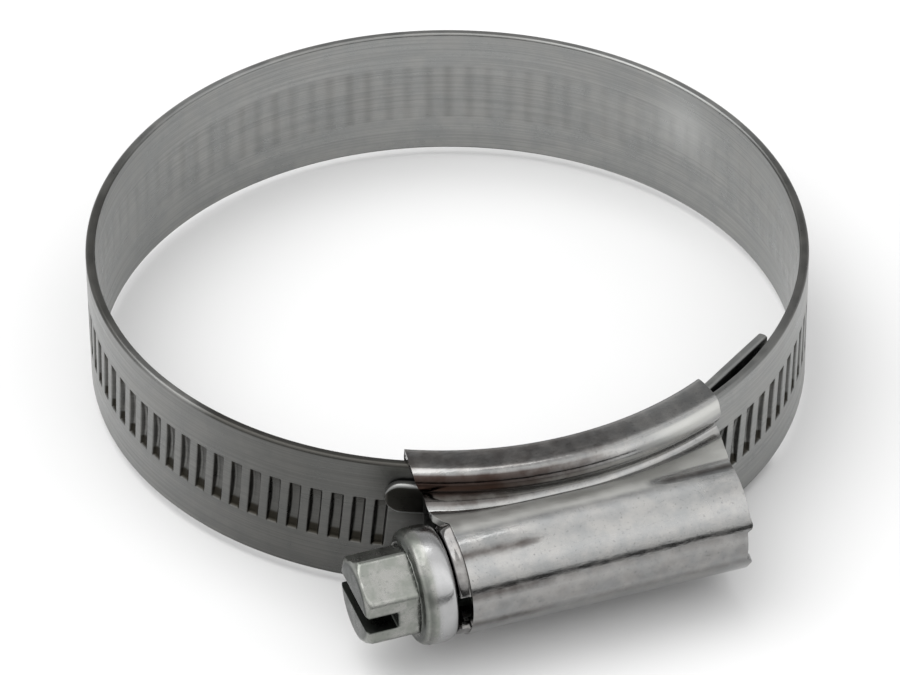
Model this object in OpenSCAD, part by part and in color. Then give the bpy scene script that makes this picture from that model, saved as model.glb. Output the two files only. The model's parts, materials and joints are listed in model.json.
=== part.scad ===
// Worm-drive hose clamp: a slotted strip bent into a ring, a pressed housing
// wrapped round the strip's overlap, and a worm screw that draws the free end
// through. The origin is the centre of the hose. +Z is the hose axis, the
// housing is at -Y and the screw's head points to -X.

/* [Strip] */
// Width of the strip, along the hose axis
band_w = 13; // [11:0.5:13]
// Thickness of the strip
band_t = 0.85; // [0.7:0.05:0.9]
// Radius of the inside of the free end, about the strip's centre
free_r = 31.1; // [31:0.05:31.2]
// Play between the fixed end and the free end inside the housing
layer_gap = 0.1; // [0.05:0.01:0.15]
// Angle of the free end's tip
tip_a = -118.7; // [-119.5:0.1:-118]
// Angle of the fixed end's tip, inside the ring past the housing
tongue_a = -47; // [-50:0.5:-47]
// Radius of the two rounded ears that the free end's tip is cut to
ear_r = 1.55; // [1.4:0.05:1.7]
// Height of an ear's middle above the strip's middle
ear_z = 3.55; // [3.4:0.05:3.7]
// Length of an ear
ear_l = 3.3; // [3.2:0.1:3.4]

/* [Slots] */
// Slots that a full turn of the free end would hold
slots_per_turn = 104; // [104]
// Width of a slot, along the strip
slot_w = 1.15; // [1.1:0.05:1.25]
// Length of a slot, across the strip
slot_l = 5; // [4:0.5:6]
// Depth of a slot
slot_d = 0.45; // [0.4:0.05:0.5]
// Lean of a slot, which follows the screw's thread
slot_lean = 4.2; // [3:0.1:5]

/* [Flexing part] */
// Sections that stand for the flexing part of the strip
sections = 24; // [24]
// Slots in each section
section_slots = 2; // [1:1:2]
// Play between two sections
section_gap = 0.3; // [0.25:0.05:0.4]
// Angle where the free end's own stretch stops and the flexing part begins
flex_from = 75; // [75]
// Angle where the flexing part stops at the fixed end
flex_to = 242; // [242]

/* [Housing] */
// Thickness of the housing's sheet
sheet_t = 0.7; // [0.6:0.05:0.8]
// Angle of the housing's edge on the head side
saddle_from = -115; // [-116:0.5:-112]
// Angle of the housing's other edge
saddle_to = -64.8; // [-66:0.1:-62]
// Outside radius of the barrel
barrel_r = 4.9; // [4.9]
// Start of the barrel, on the head side
barrel_x0 = -12.8; // [-12.8]
// End of the barrel
barrel_x1 = 12.5; // [12.3:0.1:12.7]
// Radius of the round hose that the clamp's inside seats on
seat_r = 30.39; // [30.38:0.01:30.4]

/* [Screw] */
// Distance of the screw's axis from the strip's outside
screw_rise = 3.75; // [3.75]
// Radius of the screw's core
core_r = 3.3; // [3:0.1:3.3]
// Radius of the thread's crest
crest_r = 4.08; // [4:0.02:4.1]
// Width of the head across its flats
hex_af = 7; // [7]
// Length of the hexagon
hex_l = 4.75; // [4.6:0.05:5.1]
// Radius of the collar behind the head
collar_r = 5.05; // [5:0.05:5.3]
// Thickness of the collar
collar_t = 3; // [2.5:0.1:3]
// Width of the driver slot
driver_w = 1.4; // [1.2:0.1:1.6]
// Depth of the driver slot
driver_d = 3.1; // [2:0.1:3.2]

/* [Hidden] */
$fn = 96;
eps = 0.01;
// How far a cut runs past the solid that it cuts
past = 1;

// Centre of the free end's and the fixed end's arcs
ring_x = -0.15;
ring_y = -0.7;
free_out = free_r + band_t;
fixed_r = free_r - band_t - layer_gap;
fixed_out = fixed_r + band_t;

// The flexing part steps inward from the free end's circle to the fixed end's
// in two arcs. Each touches its own circle and they touch each other midway.
half_step = (free_r - fixed_r) / 2;
flex_span = flex_to - flex_from;
flex_mid = (flex_from + flex_to) / 2;
reach = 2 * cos(flex_span / 2);
arc_shift = half_step * reach / (2 - reach);
arc_offset = half_step + arc_shift;
first_r = free_r - arc_offset;
last_r = fixed_r + arc_offset;
first_x = ring_x + arc_offset * cos(flex_from);
first_y = ring_y + arc_offset * sin(flex_from);
last_x = ring_x - arc_offset * cos(flex_to);
last_y = ring_y - arc_offset * sin(flex_to);
section_a = flex_span / sections;
flex_pitch = section_a / section_slots;

// The free end's slots follow on from the flexing part's
free_pitch = 360 / slots_per_turn;
free_slot_last = flex_from - flex_pitch / 2;
tip_plain = 5.5;
free_slots = floor((free_slot_last - tip_a - tip_plain) / free_pitch) + 1;

// The screw's axis, and the thread that meets the slots
screw_y = ring_y - free_out - screw_rise;
mesh_depth = 0.15;
mesh_r = free_out - mesh_depth;
thread_pitch = 2 * PI * mesh_r / slots_per_turn;
turns_to_bottom = (free_slot_last + 90) / free_pitch;
mesh_x = ring_x + mesh_r * sin((turns_to_bottom - floor(turns_to_bottom)) * free_pitch);
root_w = 1.25;
crest_w = 0.5;
thread_turns = 10.5;
thread_steps = 24;
thread_sink = 0.1;
thread_root_r = core_r - thread_sink;
neck_r = 2.95;
pilot_r = 2.9;
journal_play = 0.1;

// Stations along the screw, from its head: the collar stands clear of the
// housing's lip, and the core has end play between the two lips
lip_t = 0.9;
end_play = 0.2;
collar_gap = 0.3;
collar_x = barrel_x0 - collar_gap;
head_x = collar_x - collar_t;
core_x0 = barrel_x0 + lip_t + end_play;
core_x1 = barrel_x1 - lip_t - end_play;

// Housing section, in radius from the strip's centre and height
flank_r = free_out + 0.1;
flank_out = flank_r + sheet_t;
edge_play = 0.1;
roll_z = band_w / 2 + edge_play;
roll_top = roll_z + sheet_t + 0.05;
roll_round = 1.3;
leg_z = 3;
leg_reach = 1.5;
throat = 3.5;

function two_digits(i) = str(i < 10 ? "0" : "", i);
function section_name(i) = str("band_section_", two_digits(i));

// A stretch of strip: an arc of the given inner radius about the Z axis
module strip(r, from, to) {
    rotate([0, 0, from])
        rotate_extrude(angle = to - from)
            translate([r, -band_w / 2]) square([band_t, band_w]);
}

// The cut of one pressed slot in a strip of the given outer radius
module slot(r_out, a) {
    rotate([0, 0, a]) translate([r_out - slot_d, 0, 0]) rotate([-slot_lean, 0, 0])
        translate([0, -slot_w / 2, -slot_l / 2]) cube([slot_d + past, slot_w, slot_l]);
}

// One section of the flexing part, counted from the free end
module band_section(i) {
    first_arc = i <= sections / 2;
    r = first_arc ? first_r : last_r;
    x = first_arc ? first_x : last_x;
    y = first_arc ? first_y : last_y;
    from = flex_from + (i - 1) * section_a;
    trim = section_gap / 2 / r * 180 / PI;
    color("silver")
        translate([x, y, 0]) difference() {
            strip(r, from + trim, from + section_a - trim);
            for (k = [0 : section_slots - 1]) slot(r + band_t, from + (k + 0.5) * flex_pitch);
        }
}

// What comes off the upper half of the tip, so that a rounded ear is left
module tip_waste() {
    translate([free_r - past, 0, 0]) rotate([90, 0, 90])
        linear_extrude(band_t + 2 * past) difference() {
            translate([-past, -past]) square([ear_l + past, band_w / 2 + 2 * past]);
            translate([ear_r, ear_z]) circle(ear_r);
            translate([ear_r, ear_z - ear_r]) square([ear_l, 2 * ear_r]);
        }
}

// The free end: from its tip, through the housing and up the ring's side
module band_free_end() {
    trim = section_gap / 2 / free_r * 180 / PI;
    color("lightgray")
        translate([ring_x, ring_y, 0]) difference() {
            strip(free_r, tip_a, flex_from - trim);
            for (k = [0 : free_slots - 1]) slot(free_out, free_slot_last - k * free_pitch);
            rotate([0, 0, tip_a]) {
                tip_waste();
                mirror([0, 0, 1]) tip_waste();
            }
        }
}

// The fixed end: through the housing, under the free end, to a square tip
module band_fixed_end() {
    trim = section_gap / 2 / fixed_r * 180 / PI;
    color("darkgray")
        translate([ring_x, ring_y, 0]) strip(fixed_r, flex_to - 360 + trim, tongue_a);
}

// Section of the saddle, upper half: flank, rolled edge and folded leg
module saddle_section() {
    leg_r = fixed_r - leg_reach;
    depth = flank_out - leg_r;
    difference() {
        union() {
            translate([leg_r, leg_z]) square([depth, roll_top - leg_z - roll_round]);
            translate([leg_r + roll_round, leg_z]) square([depth - 2 * roll_round, roll_top - leg_z]);
            for (r = [leg_r + roll_round, flank_out - roll_round])
                translate([r, roll_top - roll_round]) circle(roll_round);
        }
        translate([fixed_r, 0]) square([flank_r - fixed_r, roll_z]);
        translate([flank_r - eps, 0]) square([sheet_t + past, throat]);
    }
}

module saddle() {
    translate([ring_x, ring_y, 0]) rotate([0, 0, saddle_from])
        for (side = [0, 1]) mirror([0, 0, side])
            rotate_extrude(angle = saddle_to - saddle_from) saddle_section();
}

// A bar along X with a round nose at the screw's axis, down to the strip
module tunnel(r, half_w, x0, x1) {
    translate([x0, screw_y, 0]) rotate([0, 90, 0]) cylinder(r = r, h = x1 - x0);
    translate([x0, screw_y, -half_w]) cube([x1 - x0, 2 * barrel_r, 2 * half_w]);
}

// The barrel over the screw, open towards the strip. Its walls run down into
// the middle of the saddle's sheet.
module barrel() {
    difference() {
        tunnel(barrel_r, throat + sheet_t, barrel_x0, barrel_x1);
        tunnel(barrel_r - sheet_t, throat, barrel_x0 + lip_t, barrel_x1 - lip_t);
        translate([barrel_x0 - past, screw_y, 0]) rotate([0, 90, 0])
            cylinder(r = neck_r + journal_play, h = barrel_x1 - barrel_x0 + 2 * past);
        translate([ring_x, ring_y, 0]) cylinder(r = flank_r + sheet_t / 2, h = 2 * band_w, center = true);
    }
}

// Housing: barrel and saddle, pressed from one sheet
module housing() {
    color("gainsboro")
        difference() {
            union() {
                saddle();
                barrel();
            }
            cylinder(r = seat_r, h = 2 * band_w, center = true, $fn = 192);
        }
}

// A right-handed thread round the X axis, one crest on the strip's side at x = 0
module thread() {
    steps = thread_turns * thread_steps;
    corners = 4;
    function ring_point(s, c) =
        let (turn = s / thread_steps - thread_turns / 2,
             root = c == 0 || c == 3,
             r = root ? thread_root_r : crest_r,
             half_w = (root ? root_w : crest_w) / 2,
             side = c < 2 ? -1 : 1)
        [thread_pitch * turn + side * half_w, r * cos(360 * turn), r * sin(360 * turn)];
    points = [for (s = [0 : steps]) for (c = [0 : corners - 1]) ring_point(s, c)];
    sides = [for (s = [0 : steps - 1]) for (c = [0 : corners - 1])
        let (d = (c + 1) % corners, p = s * corners)
        each [[p + c, p + d, p + corners + d], [p + c, p + corners + d, p + corners + c]]];
    last = steps * corners;
    polyhedron(points = points, convexity = 12,
               faces = concat(sides, [[3, 2, 1, 0], [last, last + 1, last + 2, last + 3]]));
}

// A hexagonal bar along X from the origin, its outer end chamfered
module hex_head() {
    across = hex_af / cos(30);
    chamfer = 0.8;
    end_r = hex_af / 2 - 0.3;
    clear_r = hex_af / 2 + chamfer;
    intersection() {
        rotate([0, 90, 0]) rotate([0, 0, 30]) cylinder(d = across, h = hex_l, $fn = 6);
        rotate([0, 90, 0]) union() {
            cylinder(r1 = end_r, r2 = clear_r, h = chamfer);
            translate([0, 0, chamfer]) cylinder(r = clear_r, h = hex_l);
        }
    }
}

// Worm screw: slotted hexagon, round-edged collar, neck, thread and pilot
module worm_screw() {
    edge = 1;
    color("lightsteelblue")
        translate([0, screw_y, 0]) union() {
            difference() {
                translate([head_x - hex_l, 0, 0]) hex_head();
                translate([head_x - hex_l - past, -hex_af, -driver_w / 2])
                    cube([driver_d + past, 2 * hex_af, driver_w]);
            }
            translate([head_x - eps, 0, 0]) rotate([0, 90, 0]) rotate_extrude() {
                square([collar_r - edge, collar_t + eps]);
                translate([0, edge]) square([collar_r, collar_t - 2 * edge]);
                for (z = [edge, collar_t - edge]) translate([collar_r - edge, z]) circle(edge);
            }
            translate([collar_x - eps, 0, 0]) rotate([0, 90, 0]) {
                cylinder(r = neck_r, h = core_x0 - collar_x + 2 * eps);
                translate([0, 0, core_x0 - collar_x]) cylinder(r = core_r, h = core_x1 - core_x0);
                translate([0, 0, core_x1 - collar_x - eps])
                    cylinder(r = pilot_r, h = barrel_x1 - core_x1 - end_play);
            }
            translate([mesh_x, 0, 0]) thread();
        }
}

housing();
band_fixed_end();
band_free_end();
worm_screw();
for (i = [1 : sections])
    band_section(i);
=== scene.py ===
"""Looks for the worm-drive hose clamp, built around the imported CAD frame."""
import json
import math

import bpy
import bmesh
import numpy as np
from mathutils import Matrix, Vector


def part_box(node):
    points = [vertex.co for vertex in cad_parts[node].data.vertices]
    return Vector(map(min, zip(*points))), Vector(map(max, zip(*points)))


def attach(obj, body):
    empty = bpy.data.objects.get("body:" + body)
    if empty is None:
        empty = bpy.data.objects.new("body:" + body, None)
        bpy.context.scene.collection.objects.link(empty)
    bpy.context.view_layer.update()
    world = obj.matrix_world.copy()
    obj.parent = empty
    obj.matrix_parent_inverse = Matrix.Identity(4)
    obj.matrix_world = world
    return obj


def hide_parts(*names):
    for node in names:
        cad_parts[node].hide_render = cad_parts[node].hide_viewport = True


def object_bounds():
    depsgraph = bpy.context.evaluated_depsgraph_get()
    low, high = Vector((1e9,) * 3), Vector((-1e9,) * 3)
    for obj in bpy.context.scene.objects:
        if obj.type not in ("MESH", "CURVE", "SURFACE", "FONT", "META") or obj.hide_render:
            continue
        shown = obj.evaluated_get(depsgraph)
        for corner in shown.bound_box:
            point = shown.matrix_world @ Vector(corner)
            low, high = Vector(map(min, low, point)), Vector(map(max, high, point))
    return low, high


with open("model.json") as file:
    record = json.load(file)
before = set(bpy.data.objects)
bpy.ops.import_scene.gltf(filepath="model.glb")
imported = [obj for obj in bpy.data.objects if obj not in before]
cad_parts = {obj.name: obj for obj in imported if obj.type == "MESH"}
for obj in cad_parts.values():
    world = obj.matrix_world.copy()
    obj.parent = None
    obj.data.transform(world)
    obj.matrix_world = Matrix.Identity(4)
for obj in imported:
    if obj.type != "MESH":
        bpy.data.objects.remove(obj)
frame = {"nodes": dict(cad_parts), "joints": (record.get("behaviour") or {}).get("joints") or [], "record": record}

CAD_BOX = [list(corner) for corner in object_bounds()]
MM = 0.001
JOINTS = {joint["name"]: joint for joint in frame["joints"]}


# ---------------------------------------------------------------- sizes, mm
def node_box(node):
    low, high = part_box(node)
    return low / MM, high / MM


def joint_place(name):
    x, y, z = JOINTS[name]["pos_m"]
    return x / MM, y / MM


RING_X, RING_Y = joint_place("free_end_travel")
SCREW_Y = joint_place("screw_turn")[1]
FREE_HIGH = node_box("band_free_end")[1]
FIXED_LOW = node_box("band_fixed_end")[0]
HOUSING_LOW = node_box("housing")[0]
SCREW_LOW, SCREW_HIGH = node_box("worm_screw")
SECTIONS = sum(name.startswith("band_section_") for name in frame["nodes"])

# The strip: its thickness, half its width, and its inner radius at the free and the fixed end
BAND_T = 0.85
BAND_HALF = FREE_HIGH.z
FREE_R = FREE_HIGH.x - RING_X - BAND_T
FIXED_R = RING_Y - FIXED_LOW.y - BAND_T
SLOTS_PER_TURN = 104
# Angles round the ring: the free end's tip, the stretch that bends, and the tongue's end
TIP_A = -118.7
FLEX_FROM, FLEX_TO = 75.0, 242.0
TONGUE_A = 360.0 - 45.6
# The angle from one slot to the next, in the free end and in the stretch that bends
FREE_PITCH = 360.0 / SLOTS_PER_TURN
FLEX_PITCH = (FLEX_TO - FLEX_FROM) / SECTIONS / 2
# The last slot of the free end, next to the bending stretch
LAST_SLOT_A = FLEX_FROM - FLEX_PITCH / 2
# The tip's two ears: half their width, their distance from the middle and their length
EAR_R, EAR_Z, EAR_L = 1.55, 3.55, 3.3


# ------------------------------------------------------------ mesh helpers
def polar(degrees):
    return np.array([math.cos(math.radians(degrees)), math.sin(math.radians(degrees))])


def clamp(value, low, high):
    return min(high, max(low, value))


def smooth_step(low, high, value):
    """Rises smoothly from 0 at low to 1 at high, where high may be the smaller number."""
    t = clamp((value - low) / (high - low), 0.0, 1.0)
    return t * t * (3 - 2 * t)


def hump(value, middle, width):
    """1 at the middle, falling away to 0 on both sides."""
    return math.exp(-((value - middle) / width) ** 2)


def store_painted_shading(mesh, painted_shading):
    """Stores the painted shading map: 0 plain to 1 darkest painted shade, and down to -1 for painted light, which
    on the housing and the screw also makes the metal matte or polished.
    """
    layer = mesh.attributes.new("shade", "FLOAT", "POINT")
    layer.data.foreach_set("value", np.asarray(painted_shading, np.float32))


def link_object(name, data):
    obj = bpy.data.objects.new(name, data)
    bpy.context.scene.collection.objects.link(obj)
    return obj


def new_object(name, verts, faces, material, normals=None, painted_shading=None):
    """A mesh object from points in mm, smooth, with normals per face corner and painted shading if given."""
    mesh = bpy.data.meshes.new(name)
    mesh.from_pydata((np.asarray(verts) * MM).tolist(), [], faces)
    mesh.update()
    mesh.shade_smooth()
    if normals is not None:
        mesh.normals_split_custom_set(normals)
    if painted_shading is not None:
        store_painted_shading(mesh, painted_shading)
    mesh.materials.append(material)
    return link_object(name, mesh)


def modify(obj, kind, **settings):
    modifier = obj.modifiers.new(kind.lower(), kind)
    for key, value in settings.items():
        setattr(modifier, key, value)


def soften_edges(obj, width, segments):
    modify(obj, "BEVEL", width=width * MM, segments=segments, limit_method="ANGLE",
           angle_limit=math.radians(50), harden_normals=True)


def face_outward(mesh):
    """Drops loose points and turns every face outward."""
    work = bmesh.new()
    work.from_mesh(mesh)
    loose = [v for v in work.verts if not v.link_faces]
    bmesh.ops.delete(work, geom=loose, context="VERTS")
    bmesh.ops.recalc_face_normals(work, faces=work.faces)
    front = max(work.faces, key=lambda f: -f.calc_center_median().y)
    if front.normal.y > 0:
        bmesh.ops.reverse_faces(work, faces=work.faces)
    work.to_mesh(mesh)
    work.free()


def apply_modifiers(obj):
    """Makes the modifiers' result the object's mesh."""
    graph = bpy.context.evaluated_depsgraph_get()
    done = bpy.data.meshes.new_from_object(obj.evaluated_get(graph))
    obj.modifiers.clear()
    old = obj.data
    obj.data = done
    bpy.data.meshes.remove(old)


# --------------------------------------------------------------- materials
class Nodes:
    """Short way to write a material's nodes."""

    def __init__(self, name):
        self.material = bpy.data.materials.new(name)
        self.material.use_nodes = True
        self.tree = self.material.node_tree
        self.shader = self.tree.nodes["Principled BSDF"]

    def add(self, kind, inputs=None, **settings):
        node = self.tree.nodes.new(kind)
        for key, value in settings.items():
            setattr(node, key, value)
        for key, value in (inputs or {}).items():
            if isinstance(value, bpy.types.NodeSocket):
                self.tree.links.new(value, node.inputs[key])
            else:
                node.inputs[key].default_value = value
        return node

    def noise(self, vector, scale, detail, rough, stretch=(1, 1, 1)):
        """Noise: scale is in cycles a metre, multiplied by stretch along each axis."""
        places = self.add("ShaderNodeMapping", {"Vector": vector, "Scale": stretch})
        texture = self.add("ShaderNodeTexNoise", {"Vector": places.outputs[0], "Scale": scale,
                                                  "Detail": detail, "Roughness": rough})
        return texture.outputs["Fac"]

    def remap(self, value, low, high, to_low, to_high):
        """Maps low..high smoothly to to_low..to_high."""
        node = self.add("ShaderNodeMapRange", {0: value, 1: low, 2: high, 3: to_low, 4: to_high},
                        interpolation_type="SMOOTHSTEP")
        return node.outputs[0]

    def mix(self, amount, first, second):
        node = self.add("ShaderNodeMix", data_type="RGBA")
        for socket, value in ((0, amount), (6, first), (7, second)):
            if isinstance(value, bpy.types.NodeSocket):
                self.tree.links.new(value, node.inputs[socket])
            else:
                node.inputs[socket].default_value = value
        return node.outputs[2]

    def shade(self):
        """The mesh's painted shading map, from 1 at the darkest painted shade to -1 at the strongest painted
        light.
        """
        return self.add("ShaderNodeAttribute", attribute_name="shade").outputs["Fac"]

    def math(self, operation, first, second):
        return self.add("ShaderNodeMath", {0: first, 1: second}, operation=operation).outputs[0]

    def link(self, socket, name):
        self.tree.links.new(socket, self.shader.inputs[name])

    def bump(self, height, distance, strength, normal=None):
        inputs = {"Height": height, "Distance": distance, "Strength": strength}
        if normal is not None:
            inputs["Normal"] = normal
        return self.add("ShaderNodeBump", inputs).outputs[0]


def colour(red, green, blue):
    return (red, green, blue, 1.0)


STRIP_ZINC = (colour(0.28, 0.285, 0.28), colour(0.33, 0.33, 0.32))
STRIP_LINES = colour(0.20, 0.205, 0.205)
# Dark colour of the strip's painted shade, and light colour of its painted glint
STRIP_PAINTED_SHADE = colour(0.020, 0.018, 0.014)
STRIP_PAINTED_GLINT = colour(0.72, 0.72, 0.71)
PRESSING_ZINC = (colour(0.27, 0.275, 0.275), colour(0.34, 0.335, 0.325))
PRESSING_SPECKS = colour(0.16, 0.16, 0.16)
# Dark reddish colour of painted shade and painted reflections, and light colour of painted light
PRESSING_PAINTED_SHADE = colour(0.026, 0.014, 0.010)
PRESSING_PAINTED_LIGHT = colour(0.50, 0.50, 0.48)
SCREW_ZINC = (colour(0.21, 0.22, 0.20), colour(0.29, 0.29, 0.275))
SCREW_PITS = colour(0.15, 0.16, 0.15)
# Dark greenish colour of painted shade, and light colour of painted light on the collar
SCREW_PAINTED_SHADE = colour(0.014, 0.019, 0.016)
SCREW_PAINTED_LIGHT = colour(0.40, 0.40, 0.405)
FLOOR_PALE = (colour(0.66, 0.66, 0.66), colour(0.67, 0.67, 0.67))


def strip_steel():
    """Rolled, zinc-plated strip: fine lines along it, soft mottling, painted shade darkest in the slots, and a
    painted glint.
    """
    n = Nodes("plated_strip")
    place = n.add("ShaderNodeTexCoord").outputs["Object"]
    along = n.noise(place, 900.0, 4.0, 0.6, (0.06, 0.06, 9.0))
    lines = n.noise(place, 2600.0, 2.0, 0.5, (0.03, 0.03, 4.0))
    mottle = n.noise(place, 380.0, 4.0, 0.6)
    grain = n.noise(place, 5200.0, 3.0, 0.6)
    tint = n.mix(n.remap(mottle, 0.35, 0.68, 0, 1), *STRIP_ZINC)
    streaked = n.mix(n.remap(along, 0.38, 0.66, 0, 0.4), tint, STRIP_LINES)
    shaded = n.mix(n.shade(), streaked, STRIP_PAINTED_SHADE)
    painted_bright = n.remap(n.shade(), 0.0, -1.0, 0.0, 1.0)
    n.link(n.mix(painted_bright, shaded, STRIP_PAINTED_GLINT), "Base Color")
    n.shader.inputs["Metallic"].default_value = 1.0
    n.link(n.remap(n.math("ADD", along, mottle), 0.75, 1.25, 0.27, 0.42), "Roughness")
    fine = n.bump(grain, 0.000006, 0.5)
    rolled = n.bump(lines, 0.000010, 0.5, fine)
    n.link(n.bump(along, 0.000012, 0.5, rolled), "Normal")
    return n.material


def pressing_steel():
    """Bright zinc on pressed sheet, with draw lines, small dents, painted shade and painted reflections, matte
    rubbed places and painted light.
    """
    n = Nodes("plated_pressing")
    place = n.add("ShaderNodeTexCoord").outputs["Object"]
    drawn = n.noise(place, 1500.0, 4.0, 0.6, (0.07, 1.0, 1.0))
    mottle = n.noise(place, 500.0, 5.0, 0.65)
    specks = n.noise(place, 3600.0, 3.0, 0.7)
    dents = n.noise(place, 230.0, 2.0, 0.5)
    ripples = n.noise(place, 1100.0, 3.0, 0.6, (0.35, 1.0, 1.0))
    tint = n.mix(n.remap(mottle, 0.3, 0.7, 0, 1), *PRESSING_ZINC)
    marked = n.mix(n.remap(specks, 0.58, 0.72, 0, 0.6), tint, PRESSING_SPECKS)
    uneven = n.remap(n.noise(place, 700.0, 3.0, 0.6), 0.35, 0.65, -0.45, 0.45)
    partly = n.math("MULTIPLY", n.shade(), n.math("SUBTRACT", 1.0, n.shade()))
    patchy = n.math("ADD", n.shade(), n.math("MULTIPLY", partly, uneven))
    shaded = n.mix(patchy, marked, PRESSING_PAINTED_SHADE)
    matte = n.remap(n.shade(), 0.0, -0.5, 0.0, 0.20)
    painted_light = n.remap(n.shade(), -0.5, -1.0, 0.0, 1.0)
    n.link(n.mix(painted_light, shaded, PRESSING_PAINTED_LIGHT), "Base Color")
    n.shader.inputs["Metallic"].default_value = 1.0
    clear = n.math("ADD", n.remap(mottle, 0.3, 0.7, 0.10, 0.19), matte)
    n.link(n.math("ADD", clear, n.math("MULTIPLY", painted_light, 0.13)), "Roughness")
    fine = n.bump(specks, 0.000005, 0.45)
    lined = n.bump(drawn, 0.000010, 0.5, fine)
    wavy = n.bump(ripples, 0.000030, 0.55, lined)
    n.link(n.bump(dents, 0.00010, 0.45, wavy), "Normal")
    return n.material


def screw_steel():
    """Dull zinc on a machined screw, pitted, polished on the collar with painted light, and greenish painted shade
    in the corners, the slot and on the end.
    """
    n = Nodes("plated_screw")
    place = n.add("ShaderNodeTexCoord").outputs["Object"]
    mottle = n.noise(place, 620.0, 5.0, 0.65)
    pits = n.noise(place, 3000.0, 4.0, 0.7)
    tint = n.mix(n.remap(mottle, 0.35, 0.65, 0, 1), *SCREW_ZINC)
    pitted = n.mix(n.remap(pits, 0.56, 0.70, 0, 0.6), tint, SCREW_PITS)
    shaded = n.mix(n.shade(), pitted, SCREW_PAINTED_SHADE)
    polish_and_light = n.remap(n.shade(), 0.0, -1.0, 0.0, 1.0)
    n.link(n.mix(polish_and_light, shaded, SCREW_PAINTED_LIGHT), "Base Color")
    n.shader.inputs["Metallic"].default_value = 1.0
    dull = n.remap(mottle, 0.3, 0.7, 0.36, 0.24)
    n.link(n.math("SUBTRACT", dull, n.math("MULTIPLY", polish_and_light, 0.10)), "Roughness")
    n.link(n.bump(pits, 0.000014, 0.6, n.bump(mottle, 0.00004, 0.4)), "Normal")
    return n.material


def floor_material():
    n = Nodes("pale_floor")
    place = n.add("ShaderNodeTexCoord").outputs["Object"]
    faint = n.noise(place, 40.0, 2.0, 0.5)
    n.link(n.mix(n.remap(faint, 0.3, 0.7, 0, 1), *FLOOR_PALE), "Base Color")
    n.shader.inputs["Roughness"].default_value = 0.9
    n.shader.inputs["Specular IOR Level"].default_value = 0.1
    return n.material


STRIP = strip_steel()
PRESSING = pressing_steel()
SCREW = screw_steel()


# ------------------------------------------------------------------- strip
class Arc:
    """The circle that a stretch of strip follows: inner radius r about (x, y)."""

    def __init__(self, x, y, r):
        self.centre = np.array([x, y])
        self.r = r

    def point(self, angle, height, shift=0.0):
        """Point at an angle and a height above the inner face, moved along the strip by shift."""
        r = self.r + height
        return self.centre + r * polar(angle + math.degrees(shift / r))


def strip_arcs():
    """The free end, the two arcs of the flexing part that step inward, and the fixed end."""
    half_step = (FREE_R - FIXED_R) / 2
    reach = 2 * math.cos(math.radians((FLEX_TO - FLEX_FROM) / 2))
    offset = half_step + half_step * reach / (2 - reach)
    ring = np.array([RING_X, RING_Y])
    first = ring + offset * polar(FLEX_FROM)
    last = ring - offset * polar(FLEX_TO)
    return [Arc(*ring, FREE_R), Arc(*first, FREE_R - offset), Arc(*last, FIXED_R + offset),
            Arc(*ring, FIXED_R)]


# The strip's section: its rounded edges, and the places across it where its faces have points
OUTER_EDGE_R = 0.30
INNER_EDGE_R = 0.24
EDGE_STEPS = 4
OUTER_Z = [BAND_HALF - OUTER_EDGE_R, 5.6, 4.6, 3.6, 2.9, 2.62, 2.53, 2.46, 2.38,
           2.1, 1.88, 1.7, 1.5, 1.0, 0.4]
INNER_Z = [BAND_HALF - INNER_EDGE_R, 5.4, 4.2, 3.3, 3.0, 2.7, 2.4, 1.8, 1.2, 0.6, 0.0]
# The pressed slots: half their length and width, how they lean, and their depth
SLOT_HALF_L = 2.5
SLOT_HALF_W = 0.56
SLOT_LEAN = math.tan(math.radians(6.0))
SLOT_MID_DEPTH = 0.56
SLOT_END_DEPTH = 0.24
# Distances from a slot's centre line where the strip has a station
SLOT_LINES = [0.0, 0.22, SLOT_HALF_W - 0.20, SLOT_HALF_W - 0.12, SLOT_HALF_W - 0.05,
              SLOT_HALF_W + 0.02, SLOT_HALF_W + 0.1]
# How far the slots show on the inner face: along their whole row, and more behind each one
ROW_IMPRINT = 0.015
SLOT_IMPRINT = 0.050
# Painted shade and painted highlights on the strip's narrow edges, by angle round the ring
RIM_SHADES = [(-119, 0.35), (-60, 0.35), (-30, 0.7), (-4, 0.7), (15, 0.25), (38, 0.15), (60, 0.45),
              (95, 0.4), (108, 0.15), (122, 0.2), (140, 0.6), (150, 0.8), (180, 0.8), (192, 0.6),
              (198, 0.42), (206, 0.5), (212, 0.88), (285, 0.92), (292, 0.25), (315, 0.25)]
# The tongue, the last stretch of the fixed end, is a little straighter than the ring
TONGUE_FROM = 360.0 - 66.0
TONGUE_DROP = 0.10
FIXED_STEPS = 48
# The plain strip behind the tip, in degrees, and how far the strip's ends are rounded over
TIP_PLAIN = 5.5
END_INSET = 0.07
# Angles on the inner face: where the painted shade on the slots' backs is darkest, and where a glint is painted
DARK_BACKS_A, DARK_BACKS_W = 82, 38
GLINT_A, GLINT_W = 26, 8


def mirrored(values):
    """The values, then their negatives in reverse, with 0 only once."""
    return list(values) + [-v for v in reversed(values) if v != 0]


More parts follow.
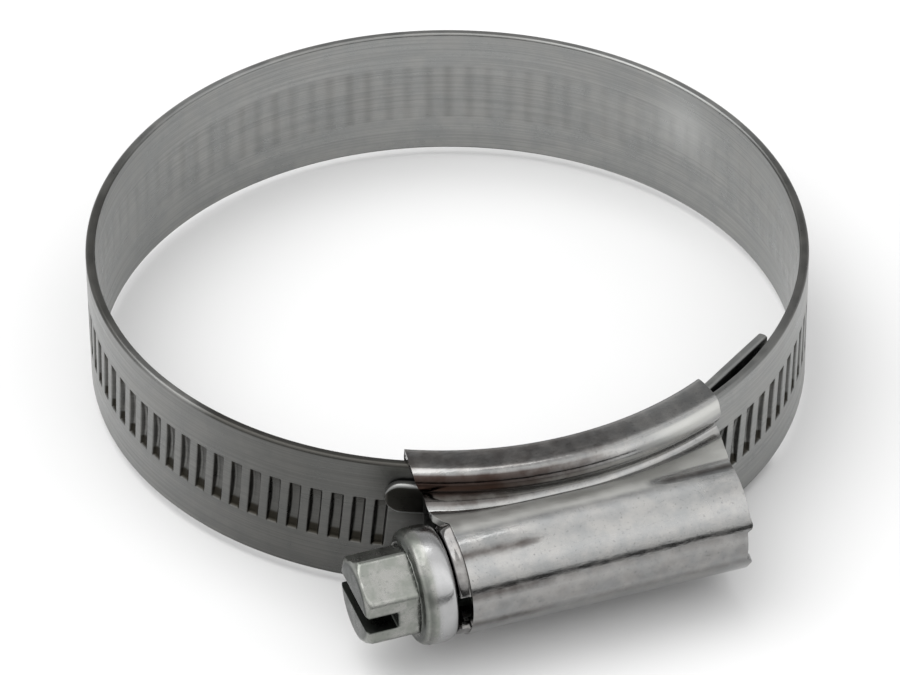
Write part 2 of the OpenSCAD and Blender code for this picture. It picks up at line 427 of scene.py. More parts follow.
def section_ring():
    """Points round the strip's section: (height, z, is on the outer face, is on the inner face)."""
    outer = [(BAND_T, z, True, False) for z in mirrored(OUTER_Z)]
    inner = [(0.0, -z, False, True) for z in mirrored(INNER_Z)]

    def corner(height, z, r, start):
        angles = [math.radians(start - 90 * k / EDGE_STEPS) for k in range(1, EDGE_STEPS)]
        return [(height + r * math.cos(a), z + r * math.sin(a), False, False) for a in angles]

    far = BAND_HALF - OUTER_EDGE_R
    near = BAND_HALF - INNER_EDGE_R
    outer_low = corner(BAND_T - OUTER_EDGE_R, -far, OUTER_EDGE_R, 0)
    inner_low = corner(INNER_EDGE_R, -near, INNER_EDGE_R, -90)
    inner_high = corner(INNER_EDGE_R, near, INNER_EDGE_R, 180)
    outer_high = corner(BAND_T - OUTER_EDGE_R, far, OUTER_EDGE_R, 90)
    edge_heights = (BAND_T - OUTER_EDGE_R, INNER_EDGE_R)
    flat_low = [(height, -BAND_HALF, False, False) for height in edge_heights]
    flat_high = [(height, BAND_HALF, False, False) for height in reversed(edge_heights)]
    return outer + outer_low + flat_low + inner_low + inner + inner_high + flat_high + outer_high


def slot_depth(across, z):
    """Depth of the pressed slot at a distance from its centre line and a place along it."""
    floor = SLOT_END_DEPTH + (SLOT_MID_DEPTH - SLOT_END_DEPTH) * (1 - (z / SLOT_HALF_L) ** 2)
    side = 1 - smooth_step(SLOT_HALF_W - 0.20, SLOT_HALF_W + 0.02, abs(across))
    end = 1 - smooth_step(SLOT_HALF_L - 0.12, SLOT_HALF_L + 0.03, abs(z))
    return floor * side * end


def imprint(across, z):
    """How far the pressed slot pushes the inner face inward."""
    ridge = 0.5 + 0.5 * math.cos(math.pi * min(1, abs(across) / 0.8))
    row = 1 - smooth_step(2.6, 3.1, abs(z))
    return row * (ROW_IMPRINT + SLOT_IMPRINT * ridge)


def slot_shade(across, z):
    """Painted shade in the slot: most on its lower end, then on its walls and its upper end."""
    side = 1 - smooth_step(SLOT_HALF_W - 0.06, SLOT_HALF_W + 0.02, abs(across))
    end = 1 - smooth_step(SLOT_HALF_L - 0.06, SLOT_HALF_L + 0.05, abs(z))
    wall = smooth_step(SLOT_HALF_W - 0.2, SLOT_HALF_W - 0.08, abs(across))
    low, high = smooth_step(1.45, 1.75, -z), smooth_step(1.1, 2.3, z)
    return side * end * min(0.99, 0.30 + 0.69 * low + 0.35 * high + 0.35 * wall)


def tongue_bend(angle):
    """Height added to the strip at its tongue, which is straighter and so lies inside the circle."""
    if angle < TONGUE_FROM:
        return 0.0
    half = (TONGUE_A - TONGUE_FROM) / 2
    outer = FIXED_R + BAND_T
    flat = outer * math.cos(math.radians(half)) / math.cos(math.radians(angle - TONGUE_FROM - half))
    return flat - outer + TONGUE_DROP * (TONGUE_FROM - angle) / (TONGUE_A - TONGUE_FROM)


class Station:
    """One cross-section of the strip. across is its distance from the nearest slot's centre."""

    def __init__(self, arc, angle, across=None, inset=0.0):
        self.arc, self.angle, self.across, self.inset = arc, angle, across, inset

    def points(self, ring):
        """The station's points, with the slot pressed in and the section drawn in by the inset."""
        made = []
        bend = tongue_bend(self.angle)
        period_half = math.pi * (self.arc.r + BAND_T) / SLOTS_PER_TURN
        for height, z, outer, inner in ring:
            shift = 0.0
            if self.across is not None and outer:
                lean = 1 - smooth_step(SLOT_LINES[-1], period_half, abs(self.across))
                shift = SLOT_LEAN * clamp(z, -SLOT_HALF_L, SLOT_HALF_L) * lean
                height -= slot_depth(self.across, z)
            if self.across is not None and inner:
                height -= imprint(self.across, z)
            height = BAND_T / 2 + (height - BAND_T / 2) * (1 - 2 * self.inset / BAND_T)
            z = z * (1 - self.inset / BAND_HALF)
            x, y = self.arc.point(self.angle, height + bend, shift)
            made.append((x, y, z))
        return made

    def painted_shading(self, ring):
        """Painted shading at each point: painted shade at the tip, on the edges, on the outer face, in the slots
        and on their backs, and a painted glint inside.
        """
        # Painted shade at the tip, next to the saddle
        tip = 0.75 * (1 - smooth_step(6.0, 9.0, self.angle - TIP_A))
        # Painted shade on the outer face, darker towards the left and the front of the ring
        front_shade = 0.06 + 0.14 * smooth_step(110, 150, self.angle) + 0.46 * smooth_step(185, 228, self.angle)
        rim = np.interp(self.angle, *zip(*RIM_SHADES))
        uneven = 1 + 0.3 * math.sin(0.9 * self.angle) + 0.25 * math.sin(0.37 * self.angle + 1)
        backs = 0.7 + 2.6 * hump(self.angle, DARK_BACKS_A, DARK_BACKS_W) * uneven
        glint = 0.36 * hump(self.angle, GLINT_A, GLINT_W)
        made = []
        for _, z, outer, inner in ring:
            lit = -glint * hump(z, 2.5, 4)
            value = lit if inner else front_shade if outer else rim
            if self.across is not None and outer:
                value = front_shade + (1 - front_shade) * slot_shade(self.across, z)
            if self.across is not None and inner:
                value = backs * imprint(self.across, z) + lit
            # Away from the tip the value may be below 0, where the glint is painted on the inner face
            made.append(max(value, tip) if tip > 0 else value)
        return made


def slot_stations(arc, centre, pitch):
    """The stations of one slot's period, without its far boundary."""
    radius = arc.r + BAND_T
    places = [-p for p in reversed(SLOT_LINES) if p] + SLOT_LINES
    half = math.radians(pitch / 2) * radius
    return [Station(arc, centre + math.degrees(p / radius), p) for p in [-half] + places]


def strip_stations():
    """All stations from the ears' root to the tongue's end, and where each piece starts and stops."""
    free, first, last, fixed = strip_arcs()
    count = math.floor((LAST_SLOT_A - TIP_A - TIP_PLAIN) / FREE_PITCH) + 1
    root = TIP_A + math.degrees(EAR_L / (free.r + BAND_T))
    stations = [Station(free, root, inset=END_INSET)]
    stations.append(Station(free, root + math.degrees(END_INSET * 0.5 / free.r)))
    pieces = {}
    for k in range(count - 1, -1, -1):
        stations += slot_stations(free, LAST_SLOT_A - k * FREE_PITCH, FREE_PITCH)
    pieces["band_free_end"] = (0, len(stations))
    for i in range(SECTIONS):
        start = len(stations)
        for k in range(2):
            middle = FLEX_FROM + (2 * i + k + 0.5) * FLEX_PITCH
            stations += slot_stations(first if i < SECTIONS / 2 else last, middle, FLEX_PITCH)
        pieces[f"band_section_{i + 1:02d}"] = (start, len(stations))
    start = len(stations)
    for k in range(FIXED_STEPS + 1):
        stations.append(Station(fixed, FLEX_TO + (TONGUE_A - FLEX_TO) * k / FIXED_STEPS))
    stations[-1].angle -= math.degrees(END_INSET * 0.5 / fixed.r)
    stations.append(Station(fixed, TONGUE_A, inset=END_INSET))
    pieces["band_fixed_end"] = (start, len(stations) - 1)
    return stations, pieces


def grid_quads(rows, size):
    """Quads between rows of points, each row closed on itself."""
    quads = [((j, i), (j, (i + 1) % size), (j + 1, (i + 1) % size), (j + 1, i))
             for j in range(rows - 1) for i in range(size)]
    return np.array([[row * size + i for row, i in quad] for quad in quads])


def grid_normals(places, quads):
    """Area-weighted normals at the points of a mesh of quads."""
    corners = places[quads]
    weighted = np.cross(corners[:, 2] - corners[:, 0], corners[:, 3] - corners[:, 1])
    normals = np.zeros_like(places)
    for k in range(4):
        np.add.at(normals, quads[:, k], weighted)
    return normals / (np.linalg.norm(normals, axis=1)[:, None] + 1e-12)


EAR_STEPS = 14
# Painted shade on the tip's ears, lighter on their narrow edges
EAR_SHADE = 0.93
EAR_RIM_SHADE = 0.3


def ear_station(ring, side, s):
    """Points round one ear of the tip, at a distance s from its end."""
    free = strip_arcs()[0]
    half = EAR_R if s > EAR_R else math.sqrt(max(0.01, EAR_R ** 2 - (EAR_R - s) ** 2))
    edge = min(OUTER_EDGE_R, 0.8 * half)
    flat = BAND_HALF - OUTER_EDGE_R
    squash = 1 - 0.55 * (1 - min(1, s / 0.3)) ** 2
    made = []
    for height, z, _, _ in ring:
        if abs(z) <= flat:
            place = z * (half - edge) / flat
        else:
            place = math.copysign(half - (BAND_HALF - abs(z)) * edge / OUTER_EDGE_R, z)
        height = BAND_T / 2 + (height - BAND_T / 2) * squash
        x, y = free.point(TIP_A + math.degrees(s / (free.r + BAND_T)), height)
        made.append((x, y, side * EAR_Z + place))
    return made


def tip_ear(ring, side, base):
    """One ear's points, faces, corner normals and painted shading, with its points counted from base."""
    round_part = [EAR_R * (1 - math.cos(math.pi / 2 * k / EAR_STEPS)) for k in range(EAR_STEPS + 1)]
    distances = round_part + [EAR_R + (EAR_L - EAR_R) * k / 3 for k in (1, 2, 3)]
    places = np.array([ear_station(ring, side, s) for s in distances]).reshape(-1, 3)
    size = len(ring)
    quads = grid_quads(len(distances), size)
    normals = grid_normals(places, quads)[quads].reshape(-1, 3)
    nose = np.tile([math.sin(math.radians(TIP_A)), -math.cos(math.radians(TIP_A)), 0.0], (size, 1))
    faces = (quads + base).tolist() + [[base + i for i in range(size)][::-1]]
    painted_shading = [EAR_SHADE if outer or inner else EAR_RIM_SHADE for _, _, outer, inner in ring]
    return places, faces, np.concatenate([normals, nose]), painted_shading * len(distances)


def cut_normals(own, size):
    """Outward normals of the flat cuts at a piece's first and last station."""
    first = np.cross(own[1] - own[0], own[size // 2] - own[0])
    first /= np.linalg.norm(first) + 1e-12
    along = own[size:2 * size].mean(0) - own[:size].mean(0)
    if np.dot(first, along) > 0:
        first = -first
    along = own[-size:].mean(0) - own[-2 * size:-size].mean(0)
    return first, along / np.linalg.norm(along)


def build_strip():
    """One continuous strip, cut into the frame's pieces, with the whole strip's normals on each."""
    ring = section_ring()
    stations, pieces = strip_stations()
    size = len(ring)
    places = np.array([s.points(ring) for s in stations]).reshape(-1, 3)
    all_shading = np.array([s.painted_shading(ring) for s in stations])
    quads = grid_quads(len(stations), size)
    normals = grid_normals(places, quads)
    made = {}
    for name, (start, stop) in pieces.items():
        base = start * size
        own = places[base:(stop + 1) * size]
        painted_shading = all_shading[start:stop + 1].ravel()
        sides = quads[base:stop * size]
        last_cut = [(stop - start) * size + i for i in range(size)]
        faces = (sides - base).tolist() + [list(range(size))[::-1], last_cut]
        caps = [np.tile(normal, (size, 1)) for normal in cut_normals(own, size)]
        corners = np.concatenate([normals[sides].reshape(-1, 3)] + caps)
        if name == "band_free_end":
            for side in (1, -1):
                points, ear_faces, ear_corners, ear_shading = tip_ear(ring, side, len(own))
                own, painted_shading = np.concatenate([own, points]), np.concatenate([painted_shading, ear_shading])
                faces, corners = faces + ear_faces, np.concatenate([corners, ear_corners])
        piece = name.replace("band_", "strip_")
        made[name] = new_object(piece, own, faces, STRIP, corners.tolist(), painted_shading)
    return made


def place_strip():
    for node, obj in build_strip().items():
        body = next(b for b, names in frame["record"]["behaviour"]["bodies"].items() if node in names)
        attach(obj, body)
        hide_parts(node)


place_strip()


# ----------------------------------------------------------------- housing
SHEET_T = 0.65
BARREL_R = SCREW_Y - HOUSING_LOW.y - 0.02
BARREL_LEFT = -12.0
BARREL_RIGHT = 12.9
# The saddle's ends, as angles: at its inner corner, at the roll's outside and at the crease
SADDLE_LEFT = (-116.0, -113.7, -111.8)
SADDLE_RIGHT = (-62.8, -64.8, -64.9)
# Which of the profile's points those are, and how many of its points the flank has
INNER_CORNER = 9
ROLL_OUTSIDE = 26
FLANK_POINTS = 6
# The crease between saddle and panel, as (distance from the ring's centre, height)
CREASE = (33.15, 4.1)
# The crimped lip on the head's side: its end, its radius, the bore round the screw's neck, and
# the angles between which it is open at the front
LIP_LEFT = -13.0
LIP_R = 4.70
JOURNAL_R = 3.1
LIP_OPEN = (-27, 17.5)
# The fold at the corner of the lip and the panel: its middle, half its size and its height
FOLD_X, FOLD_Y = -12.15, -35.6
FOLD_HALF_X, FOLD_HALF_Y = 0.75, 1.25
FOLD_RISE = 0.42
HOUSING_STEPS = 44
NOSE_STEPS = 34


def arc_points(x, y, r, start, stop, steps):
    angles = np.radians(np.linspace(start, stop, steps))
    return [(x + r * math.cos(a), y + r * math.sin(a)) for a in angles]


def saddle_profile():
    """Upper half of the saddle's outer surface, as (distance from the ring's centre, height)."""
    leg = [(29.35, z) for z in (3.05, 3.6, 4.3, 5.1, 5.9)]
    inner_corner = arc_points(30.05, 6.6, 0.7, 180, 95, 7)
    crown = [(31.0 + 0.95 * t, 7.3 + 0.045 * (1 - t * t)) for t in (-0.85, -0.5, -0.15, 0.2, 0.55, 0.85)]
    roll = arc_points(31.95, 6.0, 1.3, 86, -38, 17)
    valley = [(32.87, 5.0), (32.80, 4.82), (32.80, 4.66), (32.86, 4.52)]
    return leg + inner_corner + crown + roll + valley


def along_profile(profile):
    """Distance along the profile at each of its points."""
    return np.r_[0, np.cumsum(np.linalg.norm(np.diff(np.array(profile), axis=0), axis=1))]


def crease_place(u):
    """Crease point (distance from the ring's centre, height), u from 0 at the head's end to 1."""
    sag = smooth_step(0.45, 0.0, u)
    return CREASE[0] + 0.55 * sag, CREASE[1] - 0.35 * sag


def barrel_end(phi):
    """How far the barrel reaches on its right, at an angle from the front towards the top."""
    notch = smooth_step(21, 18, phi) * smooth_step(-24, -16, phi)
    return BARREL_RIGHT - 0.42 * notch + 0.12 * hump(phi, 25, 5)


def axis_point(x, phi, r=BARREL_R):
    """Point at a radius round the screw's axis, at an angle from the front towards the top."""
    a = math.radians(phi)
    return np.array([x, SCREW_Y - r * math.cos(a), r * math.sin(a)])


def folded(place):
    """The point, moved outward where the sheet is folded at the corner of the lip and the panel."""
    if abs(place[2]) <= 3:
        return place
    tent_x = max(0.0, 1 - abs(place[0] - FOLD_X) / FOLD_HALF_X)
    tent_y = max(0.0, 1 - abs(place[1] - FOLD_Y) / FOLD_HALF_Y)
    return place + np.array([0, 0, math.copysign(FOLD_RISE * tent_x * tent_y, place[2])])


def saddle_shading(u, step):
    """Painted shading of the saddle's outside: painted shade on its crown, valley and flank, a painted reflection
    band low on the roll and a painted highlight on the roll's right; u from the head's end, step counted from
    where its flank starts.
    """
    near, far, reach = smooth_step(0.62, 0.12, u), smooth_step(0.5, 0.8, u), smooth_step(0.95, 0.2, u)
    crown = smooth_step(-10.5, -14.5, step)
    low_roll = smooth_step(-12.0, -9.8, step)
    valley = smooth_step(-7, 1, step)
    flank = smooth_step(-1, 3, step)
    painted_bright = far * smooth_step(-14, -12, step) * (1 - valley)
    band = 0.95 * (reach + (near - reach) * valley) * low_roll * (1 - flank)
    shade_value = 0.20 * valley + band + 0.5 * near * flank + (0.5 - 0.4 * far) * crown
    return min(0.99, shade_value) - 0.9 * painted_bright * (1 - crown)


def painted_streaks(u, phi):
    """Painted dark reflection streaks along the barrel, u from the head's end, at an angle from the front."""
    left, right = smooth_step(0.34, 0.20, u), smooth_step(0.68, 0.80, u)
    upper = 0.72 * left * hump(phi, 60, 4.5)
    edge = 0.6 * right * hump(phi, 94, 5.0)
    lower = (0.24 + 0.42 * left) * hump(phi, 18, 6.0)
    return max(upper, edge, lower)


def barrel_shading(u, phi):
    """Painted shading of the barrel: its painted reflection streaks and painted shade on its front, with matte and
    rubbed metal above them and painted light at the top.
    """
    shade_value = max(painted_streaks(u, phi), 0.20 * smooth_step(14, 4, phi))
    rubbed = 0.5 * (smooth_step(0.16, 0.30, u) * smooth_step(0.93, 0.82, u))
    # Matte metal above the marks; towards the top it is also lightened with painted light
    matte = max(smooth_step(74, 96, phi), rubbed * smooth_step(40, 54, phi))
    return shade_value - matte * (1 - min(1.0, shade_value / 0.3))


def tangent_angle(place):
    """Where the panel from a place meets the barrel: just past its tangent, or past a place inside."""
    dy, dz = SCREW_Y - place[1], place[2]
    distance = math.hypot(dy, dz)
    angle = math.degrees(math.atan2(dz, dy))
    if distance > BARREL_R:
        return angle - math.degrees(math.acos(BARREL_R / distance)) - 2
    return angle - 6


def upper_half(u):
    """The housing's outer surface from the leg's end to the barrel's front at u, and its painted shading."""
    profile = saddle_profile()
    lengths = along_profile(profile + [CREASE])
    marks = (lengths[INNER_CORNER], lengths[ROLL_OUTSIDE], lengths[-1])

    def on_ring(rho, z, distance):
        left, right = (float(np.interp(distance, marks, ends)) for ends in (SADDLE_LEFT, SADDLE_RIGHT))
        x, y = np.array([RING_X, RING_Y]) + rho * polar(left + (right - left) * u)
        return np.array([x, y, z])

    made, painted_shading = [], []
    rho, z = crease_place(u)
    for k, (own_rho, own_z) in enumerate(profile):
        step = k - (len(profile) - FLANK_POINTS)
        share = max(0.0, step / FLANK_POINTS)
        own_rho, own_z = own_rho + (rho - CREASE[0]) * share, own_z + (z - CREASE[1]) * share
        made.append(on_ring(own_rho, own_z, lengths[k]))
        painted_shading.append(saddle_shading(u, step))
    crease = on_ring(rho, z, lengths[-1])
    phi_from = tangent_angle(crease)
    tangent = axis_point(BARREL_LEFT + (barrel_end(90) - BARREL_LEFT) * u, phi_from)
    before, after = made[-1], crease + (tangent - crease) * 0.22
    for t in (0.25, 0.5, 0.75):
        made.append((1 - t) ** 2 * before + 2 * t * (1 - t) * crease + t * t * after)
        painted_shading.append(painted_shading[-1] * 0.3)
    # Painted light on the panel between the crease and the barrel
    for t in (0.22, 0.4, 0.6, 0.8):
        made.append(folded(crease + (tangent - crease) * t))
        painted_shading.append(-1.0)
    for phi in np.linspace(phi_from, 0, NOSE_STEPS):
        made.append(folded(axis_point(BARREL_LEFT + (barrel_end(phi) - BARREL_LEFT) * u, phi)))
        painted_shading.append(barrel_shading(u, phi))
    return made, painted_shading


def lip_stations():
    """The crimped lip on the head's side: (x, radius) from the barrel's edge inwards."""
    step = [(BARREL_LEFT - 0.02, BARREL_R - 0.14), (BARREL_LEFT - 0.08, LIP_R + 0.08),
            (BARREL_LEFT - 0.16, LIP_R)]
    flat = [(BARREL_LEFT - 0.45, LIP_R), (LIP_LEFT + 0.18, LIP_R - 0.02)]
    turned = [(LIP_LEFT + 0.05, LIP_R - 0.12), (LIP_LEFT, LIP_R - 0.35), (LIP_LEFT, 3.7),
              (LIP_LEFT, JOURNAL_R)]
    return step + flat + turned


def add_lip(edge, verts, faces, painted_shading):
    """Adds the lip to the housing, from the barrel's part of its edge on the head's side."""
    nose = [i for i, place in enumerate(edge) if place[1] < SCREW_Y + BARREL_R * 0.45]
    phi_of = {i: math.degrees(math.atan2(edge[i][2], SCREW_Y - edge[i][1])) for i in nose}
    previous = {i: i for i in nose}
    for x, r in lip_stations():
        current = {}
        for i in nose:
            current[i] = len(verts)
            verts.append(folded(axis_point(x, phi_of[i], r)))
            # Painted shade on the lip, darker where it turns in round the neck
            painted_shading.append(0.40 if r > LIP_R - 0.2 else 0.85)
        for a, b in zip(nose, nose[1:]):
            middle = (phi_of[a] + phi_of[b]) / 2
            if not LIP_OPEN[0] < middle < LIP_OPEN[1]:
                faces.append((current[a], current[b], previous[b], previous[a]))
        previous = current


def build_housing():
    """The pressed sheet's outer surface, mirrored below, with its lip, then thickened inward."""
    verts, painted_shading = [], []
    for j in range(HOUSING_STEPS + 1):
        half, half_shading = upper_half(j / HOUSING_STEPS)
        verts += half + [p * np.array([1, 1, -1]) for p in reversed(half[:-1])]
        painted_shading += half_shading + half_shading[-2::-1]
    size = len(verts) // (HOUSING_STEPS + 1)
    faces = [(j * size + i, j * size + i + 1, (j + 1) * size + i + 1, (j + 1) * size + i)
             for j in range(HOUSING_STEPS) for i in range(size - 1)]
    add_lip(verts[:size], verts, faces, painted_shading)
    obj = new_object("housing_pressing", verts, faces, PRESSING, None, painted_shading)
    face_outward(obj.data)
    modify(obj, "SOLIDIFY", thickness=SHEET_T * MM, offset=-1.0, use_even_offset=False)
    soften_edges(obj, 0.09, 2)
    apply_modifiers(obj)
    obj.data.shade_smooth()
    return obj


def place_housing():
    obj = build_housing()
    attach(obj, "root")
    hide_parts("housing")


place_housing()


# ------------------------------------------------------------------- screw
# Along the screw: the slotted hexagon, the collar, the neck, the threaded core and the pilot
HEAD_X = SCREW_LOW.x
PILOT_X = SCREW_HIGH.x
HEX_AF = 7.0
HEX_L = 4.75
COLLAR_X = HEAD_X + HEX_L
COLLAR_T = 3.0
COLLAR_BACK = COLLAR_X + COLLAR_T
COLLAR_R = 5.04
COLLAR_EDGE_R = 4.3
BURR_R = 3.98
NECK_R = 2.95
CORE_R = 3.3
CREST_R = 4.08
PILOT_R = 2.9
CORE_FROM = COLLAR_BACK + 1.4
CORE_TO = PILOT_X - 0.9
CORE_STEP = 0.13
DRIVER_W = 1.6
DRIVER_D = 2.75
# Painted shade inside the driver slot
DRIVER_SHADE = 0.74
AROUND = 144


def thread_lift(x, theta):
    """Height of the thread above the core, with a crest on the strip's side in a slot's place."""
    pitch = 2 * math.pi * (FREE_R + BAND_T - 0.15) / SLOTS_PER_TURN
    nearest_slot = math.radians((LAST_SLOT_A + 90) % FREE_PITCH)
    start = RING_X + (FREE_R + BAND_T) * math.sin(nearest_slot)
    phase = (x - start) / pitch - (180 - theta) / 360
    away = abs((phase + 0.5) % 1 - 0.5) * pitch
    ends = smooth_step(CORE_FROM, CORE_FROM + 1.2, x) * smooth_step(CORE_TO, CORE_TO - 1.2, x)
    return (CREST_R - CORE_R) * (1 - smooth_step(0.24, 0.62, away)) * ends


def hex_radius(theta, end_distance):
    """Radius of the hexagon with worn corners, its end chamfered by a cone."""
    away = (theta + 30) % 60 - 30
    flat = HEX_AF / 2 / math.cos(math.radians(away))
    corner = HEX_AF / 2 / math.cos(math.radians(30)) - 0.12
    flat = min(flat, corner + 0.02 * (30 - abs(away)))
    cone = HEX_AF / 2 - 0.06 + 1.1 * end_distance
    blend = 0.18
    mix = clamp(0.5 + 0.5 * (cone - flat) / blend, 0, 1)
    return cone + (flat - cone) * mix - blend * mix * (1 - mix) / 2


def collar_radius(t):
    """Radius of the collar, domed from t = -1 at its front to t = 1 at its back."""
    return COLLAR_EDGE_R + (COLLAR_R - COLLAR_EDGE_R) * (1 - abs(t) ** 3.0) ** (1 / 2.2)


def screw_stations():
    """(x, function of the angle that gives the radius) from the head's end to the pilot's."""
    rng = np.random.default_rng(7)
    nicks = np.convolve(rng.random(AROUND), np.ones(3) / 3, "same")

    def hexagon(distance, inset=0.0):
        return lambda theta: hex_radius(theta, distance) - inset

    def ring(r):
        return lambda theta: r

    def burr(theta):
        return BURR_R + 0.16 * nicks[int(theta / 360 * AROUND) % AROUND]

    made = [(HEAD_X, hexagon(0.0, 0.55)), (HEAD_X + 0.02, hexagon(0.0, 0.25)),
            (HEAD_X + 0.10, hexagon(0.06, 0.08))]
    chamfered = (0.2, 0.35, 0.5, 0.65, 0.8, 0.95, 1.1, 1.4)
    made += [(HEAD_X + d, hexagon(d)) for d in chamfered + (2.2, 3.0, 3.8, 4.4, HEX_L)]
    made += [(COLLAR_X - 0.16, burr), (COLLAR_X - 0.10, burr), (COLLAR_X - 0.04, ring(4.16)),
             (COLLAR_X + 0.02, ring(4.34))]
    for k in range(1, 16):
        t = -math.cos(math.pi * k / 16)
        made.append((COLLAR_X + COLLAR_T / 2 + COLLAR_T / 2 * t, ring(collar_radius(t))))
    made += [(COLLAR_BACK, ring(4.28)), (COLLAR_BACK + 0.04, ring(4.1)),
             (COLLAR_BACK + 0.04, ring(NECK_R + 0.1)), (COLLAR_BACK + 0.14, ring(NECK_R))]
    made += [(CORE_FROM - 0.05, ring(NECK_R)), (CORE_FROM, ring(CORE_R - 0.08))]
    steps = int((CORE_TO - CORE_FROM) / CORE_STEP)
    for k in range(1, steps):
        x = CORE_FROM + (CORE_TO - CORE_FROM) * k / steps
        made.append((x, lambda theta, x=x: CORE_R + thread_lift(x, theta)))
    made += [(CORE_TO, ring(CORE_R - 0.08)), (CORE_TO + 0.04, ring(PILOT_R))]
    made += [(PILOT_X - 0.2, ring(PILOT_R)), (PILOT_X - 0.06, ring(PILOT_R - 0.06)),
             (PILOT_X, ring(PILOT_R - 0.25))]
    return made


def screw_shading(x, z):
    """Painted shading along the screw: painted shade on its end face, in the corner at the collar, on the collar's
    front side and on the neck, and painted light on the polished collar.
    """
    if x < HEAD_X + 0.05:
        return 0.93 if z > 0 else 0.82
    if x > COLLAR_BACK:
        return 0.85 if x < CORE_FROM + 0.4 else 0.2
    if x > COLLAR_X + 0.3:
        side = 0.40 * smooth_step(COLLAR_X + 1.1, COLLAR_X + 0.4, x)
        return side - 0.75 * smooth_step(COLLAR_X + 0.8, COLLAR_X + 1.4, x)
    return 0.75 * hump(x, COLLAR_X - 0.02, 0.16)


def driver_cutter():
    """A bar with softened edges that cuts the driver slot."""
    bar = bmesh.new()
    bmesh.ops.create_cube(bar, size=1.0)
    for v in bar.verts:
        v.co = Vector((v.co.x * 2 * DRIVER_D, v.co.y * 3 * HEX_AF, v.co.z * DRIVER_W)) * MM
    bmesh.ops.translate(bar, verts=bar.verts, vec=(HEAD_X * MM, SCREW_Y * MM, 0))
    long_edges = [e for e in bar.edges if abs((e.verts[0].co - e.verts[1].co).y) > HEX_AF * MM]
    inner = [e for e in long_edges if e.verts[0].co.x > HEAD_X * MM]
    bmesh.ops.bevel(bar, geom=inner, offset=0.22 * MM, segments=3, affect="EDGES", profile=0.5)
    mesh = bpy.data.meshes.new("driver_cutter")
    bar.to_mesh(mesh)
    bar.free()
    store_painted_shading(mesh, [DRIVER_SHADE] * len(mesh.vertices))
    return link_object("driver_cutter", mesh)


def build_screw():
    """The turned screw with its driver slot cut; the slot's walls all get the slot's painted shade."""
    stations = screw_stations()
    thetas = [360 * k / AROUND for k in range(AROUND)]
    verts = [axis_point(x, theta, radius(theta)) for x, radius in stations for theta in thetas]
    last = (len(stations) - 1) * AROUND
    faces = grid_quads(len(stations), AROUND).tolist()
    faces += [list(range(AROUND))[::-1], [last + i for i in range(AROUND)]]
    painted_shading = [screw_shading(place[0], place[2]) for place in verts]
    obj = new_object("slotted_screw", verts, faces, SCREW, None, painted_shading)
    face_outward(obj.data)
    cutter = driver_cutter()
    modify(obj, "BOOLEAN", operation="DIFFERENCE", object=cutter, solver="EXACT")
    soften_edges(obj, 0.10, 3)
    apply_modifiers(obj)
    bpy.data.objects.remove(cutter)
    deepest = (HEAD_X + DRIVER_D + 0.05) * MM
    for vertex, shade_value in zip(obj.data.vertices, obj.data.attributes["shade"].data):
        if vertex.co.x < deepest and abs(vertex.co.z) < (DRIVER_W / 2 + 0.03) * MM:
            shade_value.value = DRIVER_SHADE
    obj.data.shade_smooth()
    obj.data.set_sharp_from_angle(angle=math.radians(40))
    return obj


def place_screw():
    obj = build_screw()
    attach(obj, "screw")
    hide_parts("worm_screw")


place_screw()


# ----------------------------------------------------------- floor, light
FLOOR_HALF = 0.9


def studio_floor():
    corners = [(-1, -1), (1, -1), (1, 1), (-1, 1)]
    mesh = bpy.data.meshes.new("studio_floor")
    mesh.from_pydata([(x * FLOOR_HALF, y * FLOOR_HALF, CAD_BOX[0][2]) for x, y in corners],
                     [], [(0, 1, 2, 3)])
    floor = link_object("studio_floor", mesh)
    mesh.materials.append(floor_material())


# The direction to the camera: turned from -Y towards -X, and raised
VIEW_TURN = 19.24
VIEW_RISE = 38.05
VIEW_ROLL = -0.504
VIEW_DISTANCE = 527.7
FOCAL_MM = 238.8
SENSOR_MM = 36.0
# The point in mm that the distance is measured from
VIEW_CENTRE = Vector((0.313, -0.153, 0.0))
# How far right and down of that point the camera aims, as tangents
AIM_RIGHT = 0.000402
AIM_DOWN = 0.007219


def camera():
    turn, rise, roll = (math.radians(a) for a in (VIEW_TURN, VIEW_RISE, VIEW_ROLL))
    toward = Vector((-math.sin(turn) * math.cos(rise), -math.cos(turn) * math.cos(rise), math.sin(rise)))
    right = Vector((math.cos(turn), -math.sin(turn), 0))
    up = toward.cross(right)
    place = (VIEW_CENTRE + toward * VIEW_DISTANCE) * MM
    rolled_right = math.cos(roll) * right + math.sin(roll) * up
    rolled_up = -math.sin(roll) * right + math.cos(roll) * up
    back = (toward - AIM_RIGHT * rolled_right + AIM_DOWN * rolled_up).normalized()
    level_right = rolled_up.cross(back).normalized()
    level_up = back.cross(level_right)
    data = bpy.data.cameras.new("camera")
    data.lens = FOCAL_MM
    data.sensor_width = SENSOR_MM
    data.clip_start, data.clip_end = 0.01, 10
    data.dof.use_dof = False
    obj = link_object("camera", data)
    axes = Matrix((level_right, level_up, back)).transposed()
    obj.matrix_world = Matrix.Translation(place) @ axes.to_4x4()
    bpy.context.scene.camera = obj


def soft_box(name, place, aim, width, height, power):
    data = bpy.data.lights.new(name, "AREA")
    data.shape = "RECTANGLE"
    data.size, data.size_y = width, height
    data.energy = power
    obj = link_object(name, data)
    obj.location = place
    obj.rotation_euler = (Vector(place) - Vector(aim)).to_track_quat("Z", "Y").to_euler()


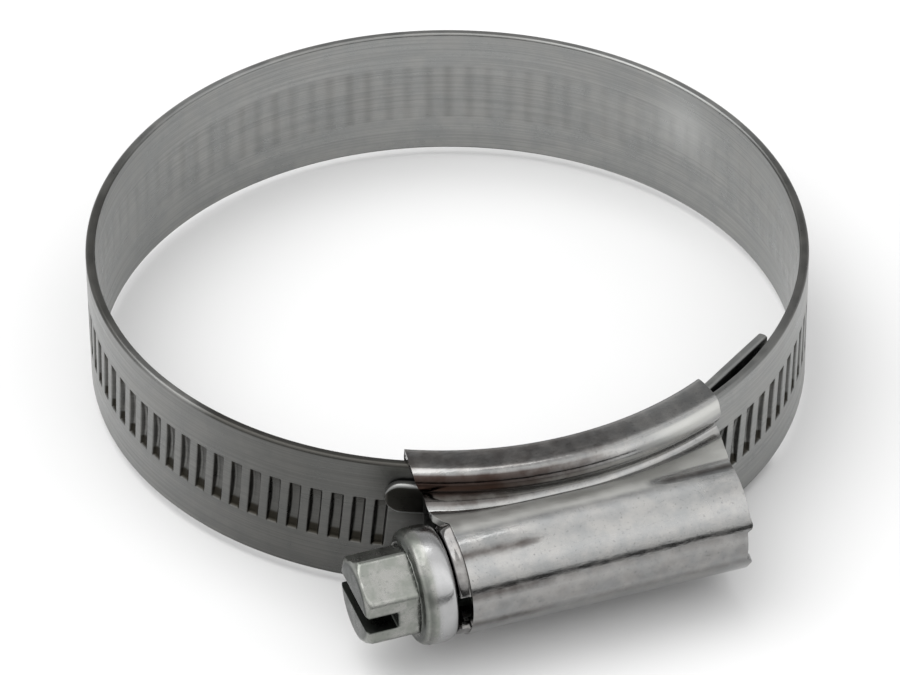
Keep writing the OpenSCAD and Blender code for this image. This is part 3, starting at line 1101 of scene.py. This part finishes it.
# Brightness of the studio round the side-to-side axis, by degrees up from the front horizon
STUDIO_BANDS = [(0, 0.05), (9, 0.05), (14, 1.0), (32, 1.4), (48, 1.8), (66, 1.8), (82, 1.5),
                (92, 1.2), (102, 1.3), (120, 1.15), (134, 0.4), (144, 0.42), (158, 0.95), (180, 0.65)]


def height_share(tree):
    """The angle up from the front horizon, over the top to the one behind, as a share of 180 degrees."""
    turn = math.radians(VIEW_TURN)
    direction = tree.nodes.new("ShaderNodeTexCoord").outputs["Generated"]
    ahead = tree.nodes.new("ShaderNodeVectorMath")
    ahead.operation = "DOT_PRODUCT"
    ahead.inputs[1].default_value = (-math.sin(turn), -math.cos(turn), 0)
    split = tree.nodes.new("ShaderNodeSeparateXYZ")
    angle = tree.nodes.new("ShaderNodeMath")
    angle.operation = "ARCTAN2"
    share = tree.nodes.new("ShaderNodeMath")
    share.operation = "DIVIDE"
    share.inputs[1].default_value = math.pi
    tree.links.new(direction, ahead.inputs[0])
    tree.links.new(direction, split.inputs[0])
    tree.links.new(split.outputs[2], angle.inputs[0])
    tree.links.new(ahead.outputs["Value"], angle.inputs[1])
    tree.links.new(angle.outputs[0], share.inputs[0])
    return share.outputs[0]


def studio_world():
    """A world that shines in bands, as a studio's lamps, ceiling and walls do."""
    world = bpy.data.worlds.new("studio")
    bpy.context.scene.world = world
    world.use_nodes = True
    tree = world.node_tree
    background = tree.nodes["Background"]
    share = height_share(tree)
    ramp = tree.nodes.new("ShaderNodeValToRGB")
    ramp.color_ramp.interpolation = "LINEAR"
    peak = max(level for _, level in STUDIO_BANDS)
    stops = ramp.color_ramp.elements
    while len(stops) < len(STUDIO_BANDS):
        stops.new(0.5)
    for stop, (degrees, level) in zip(stops, STUDIO_BANDS):
        stop.position = degrees / 180
        stop.color = colour(level / peak, level / peak, level / peak)
    tree.links.new(share, ramp.inputs[0])
    tree.links.new(ramp.outputs[0], background.inputs["Color"])
    background.inputs["Strength"].default_value = peak


def light_studio():
    studio_floor()
    studio_world()
    soft_box("key_box", (-0.30, 0.25, 0.85), (0, 0, 0), 0.9, 0.9, 5.5)
    bpy.context.scene.view_settings.view_transform = "Standard"


camera()
light_studio()
